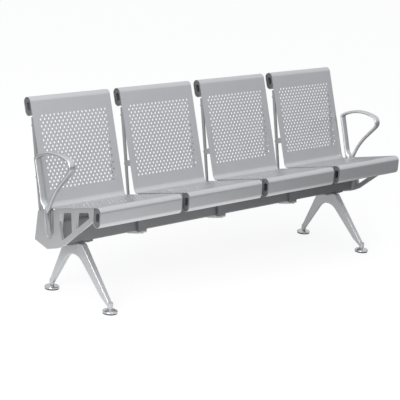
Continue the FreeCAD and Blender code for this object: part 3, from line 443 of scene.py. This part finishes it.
DOME_X = 803.0
DOME_YS = {"front": -190.0, "rear": 180.5}
DOME_SIDES = 96
DOME_CURVE_STEPS = 20
DOME_BASE_Z = 5.0
DOME_TOP_Z = 20.0
DOME_RIM_RADIUS = 31.5
DOME_RIM_TOP_Z = 7.6
DOME_HEM = 0.8
DOME_NECK_RADIUS = 11.0
DOME_BORE_RADIUS = 5.3
DOME_CAVITY_RADIUS = 9.3
DOME_CAVITY_Z = 9.6
# How far the curve is drawn up at the rim, and out and down at the neck.
DOME_RIM_LIFT = 7
DOME_NECK_FLARE = 7
DOME_NECK_DROP = 4


def curve_between(start, start_pull, end_pull, end, steps):
    """Points on a cubic Bezier: its four points blended by powers of the share along it."""
    t = np.linspace(0, 1, steps)[:, None]
    a, b, c, d = (np.array(point) for point in (start, start_pull, end_pull, end))
    return a * (1 - t) ** 3 + 3 * b * t * (1 - t) ** 2 + 3 * c * t ** 2 * (1 - t) + d * t ** 3


def dome_surface(place_x, place_y):
    """A pressed bell turned about an upright axis: (r cos a, r sin a, z) round a closed profile.

    The profile goes down the outside and up through the bore, so that the faces point outwards.
    """
    shoulder = curve_between(
        (DOME_RIM_RADIUS, DOME_RIM_TOP_Z),
        (DOME_RIM_RADIUS, DOME_RIM_TOP_Z + DOME_RIM_LIFT),
        (DOME_NECK_RADIUS + DOME_NECK_FLARE, DOME_TOP_Z - DOME_NECK_DROP),
        (DOME_NECK_RADIUS, DOME_TOP_Z),
        DOME_CURVE_STEPS,
    )
    inside = np.array([
        (DOME_BORE_RADIUS, DOME_TOP_Z),
        (DOME_BORE_RADIUS, DOME_CAVITY_Z),
        (DOME_CAVITY_RADIUS, DOME_CAVITY_Z),
        (DOME_CAVITY_RADIUS, DOME_BASE_Z),
        (DOME_RIM_RADIUS - DOME_HEM, DOME_BASE_Z),
        (DOME_RIM_RADIUS, DOME_BASE_Z + DOME_HEM),
    ])
    profile = np.concatenate([shoulder, inside])[::-1]
    a = np.arange(DOME_SIDES) * math.tau / DOME_SIDES
    r, z = profile[:, :1], profile[:, 1:]
    rings = np.stack([place_x + r * np.cos(a), place_y + r * np.sin(a), z + 0 * a], 2)
    return rings.reshape(-1, 3) / METRE, ring_faces(len(profile), DOME_SIDES, True)


for side_name, side_sign in SIDES.items():
    for end_name, dome_y in DOME_YS.items():
        corner = f"{side_name}_{end_name}"
        dome_points, dome_faces = dome_surface(side_sign * DOME_X, dome_y)
        dome_node = f"glide_dome_{corner}"
        foot = f"foot_{corner}"
        add_piece(f"dome_{corner}", dome_points, dome_faces, "glide_chrome", dome_node, foot)

# Floor

FLOOR_REACH = 60
FLOOR_GLOW = 0.80
FLOOR_PAINT = 0.20
FLOOR_ROUGHNESS = 0.9
FLOOR_GRAIN_SCALE = 200.0
FLOOR_GRAIN_STRENGTH = 0.05
FLOOR_WAVE = 0.02
# The painted pool of light on the floor under the bench: its middle, the radii between which it
# dims, and its tones.
POOL_CENTRE = (-0.4, -0.15, 0)
POOL_INNER = 0.5
POOL_OUTER = 2.1
POOL_BRIGHT = 0.95
POOL_DIM = 0.07


def add_painted_pool(tree, place):
    """The floor's tone by distance from the middle of the painted pool of light."""
    offset = tree.nodes.new("ShaderNodeVectorMath")
    offset.operation = "DISTANCE"
    tree.links.new(place, offset.inputs[0])
    offset.inputs[1].default_value = POOL_CENTRE
    fall = tree.nodes.new("ShaderNodeMapRange")
    fall.interpolation_type = "SMOOTHSTEP"
    tree.links.new(offset.outputs["Value"], fall.inputs["Value"])
    fall.inputs["From Min"].default_value = POOL_INNER
    fall.inputs["From Max"].default_value = POOL_OUTER
    fall.inputs["To Min"].default_value = POOL_BRIGHT
    fall.inputs["To Max"].default_value = POOL_DIM
    return fall.outputs["Result"]


def add_floor_paint(tree, place, painted_pool):
    """The rough floor that the lamps fall on, coloured with the painted pool of light."""
    paint = tree.nodes["Principled BSDF"]
    paint.inputs["Roughness"].default_value = FLOOR_ROUGHNESS
    # The painted pool of light sets the floor's colour.
    tree.links.new(painted_pool, paint.inputs["Base Color"])
    surface = add_group(
        tree, GRAIN, place,
        Scale=FLOOR_GRAIN_SCALE, Strength=FLOOR_GRAIN_STRENGTH, Wave=FLOOR_WAVE,
    )
    tree.links.new(surface.outputs["Normal"], paint.inputs["Normal"])
    return paint.outputs[0]


def add_floor_white(tree, direct, painted_pool):
    """The floor as it is seen: an even glow to the camera, and the painted pool of light glowing
    in reflections.
    """
    white = tree.nodes.new("ShaderNodeBsdfDiffuse")
    white.inputs["Color"].default_value = (FLOOR_PAINT, FLOOR_PAINT, FLOOR_PAINT, 1)
    glow = tree.nodes.new("ShaderNodeEmission")
    # The painted pool of light glows in glossy and transmission reflections.
    painted_pool_glow = add_math(tree, "MULTIPLY", add_math(tree, "SUBTRACT", 1.0, direct), painted_pool)
    even = add_math(tree, "MULTIPLY", direct, FLOOR_GLOW)
    tree.links.new(add_math(tree, "ADD", painted_pool_glow, even), glow.inputs["Strength"])
    shown = tree.nodes.new("ShaderNodeAddShader")
    tree.links.new(white.outputs[0], shown.inputs[0])
    tree.links.new(glow.outputs[0], shown.inputs[1])
    return shown.outputs[0]


def make_floor():
    """A wide floor: white to the camera, and to the bench a painted pool of light that dims away
    from it.
    """
    r = FLOOR_REACH
    mesh = bpy.data.meshes.new("floor")
    mesh.from_pydata([(-r, -r, 0), (r, -r, 0), (r, r, 0), (-r, r, 0)], [], [(0, 1, 2, 3)])
    floor = new_object("floor", mesh)
    material = bpy.data.materials.new("floor_paint")
    material.use_nodes = True
    tree = material.node_tree
    place = tree.nodes.new("ShaderNodeTexCoord").outputs["Object"]
    # A painted pool of light on the floor, dimming away from under the bench.
    painted_pool = add_painted_pool(tree, place)
    ray = tree.nodes.new("ShaderNodeLightPath").outputs
    direct = ray["Is Camera Ray"]
    seen = add_math(tree, "MAXIMUM", direct, ray["Is Glossy Ray"])
    seen = add_math(tree, "MAXIMUM", seen, ray["Is Transmission Ray"])
    choice = tree.nodes.new("ShaderNodeMixShader")
    tree.links.new(seen, choice.inputs[0])
    tree.links.new(add_floor_paint(tree, place, painted_pool), choice.inputs[1])
    tree.links.new(add_floor_white(tree, direct, painted_pool), choice.inputs[2])
    tree.links.new(choice.outputs[0], tree.nodes["Material Output"].inputs["Surface"])
    mesh.materials.append(material)


# Lamps, each as (place, aim, width, height, watts)

LAMPS = {
    "key_left": ((-4.2, -1.8, 2.2), (-0.3, 0, 0.4), 2.4, 2.0, 140),
    "overhead": ((-1.0, -0.8, 3.0), (-0.2, 0, 0.4), 2.8, 2.4, 22),
}


def add_lamp(name, place, aim, width, height, power):
    """A rectangular soft lamp at a place, turned towards a point."""
    data = bpy.data.lights.new(name, "AREA")
    data.shape = "RECTANGLE"
    data.size = width
    data.size_y = height
    data.energy = power
    lamp = bpy.data.objects.new(name, data)
    lamp.location = place
    lamp.rotation_mode = "QUATERNION"
    lamp.rotation_quaternion = (Vector(aim) - Vector(place)).to_track_quat("-Z", "Y")
    bpy.context.scene.collection.objects.link(lamp)


# World

WHITE = (1, 1, 1, 1)
WORLD_STRENGTH = 1.0
# Tones at two heights of the view, 0 being level and 1 straight up.
WORLD_TONES = [(0.02, (0.15, 0.155, 0.165, 1)), (0.36, (0.90, 0.91, 0.93, 1))]


def make_world():
    """White to the camera, and to the bench an even light that dims towards the horizon."""
    world = bpy.data.worlds.new("studio")
    bpy.context.scene.world = world
    world.use_nodes = True
    tree = world.node_tree
    background = tree.nodes["Background"]
    heading = tree.nodes.new("ShaderNodeTexCoord").outputs["Generated"]
    height = tree.nodes.new("ShaderNodeSeparateXYZ")
    tree.links.new(heading, height.inputs[0])
    ramp = tree.nodes.new("ShaderNodeValToRGB")
    for element, (position, tone) in zip(ramp.color_ramp.elements, WORLD_TONES):
        element.position = position
        element.color = tone
    tree.links.new(height.outputs["Z"], ramp.inputs[0])
    direct = tree.nodes.new("ShaderNodeLightPath").outputs["Is Camera Ray"]
    colour = add_colour_mix(tree, "MIX", direct, ramp.outputs["Color"], WHITE)
    tree.links.new(colour, background.inputs["Color"])
    background.inputs["Strength"].default_value = WORLD_STRENGTH


make_floor()
for lamp_name, lamp_values in LAMPS.items():
    add_lamp(lamp_name, *lamp_values)
make_world()
bpy.context.scene.view_settings.view_transform = "Standard"
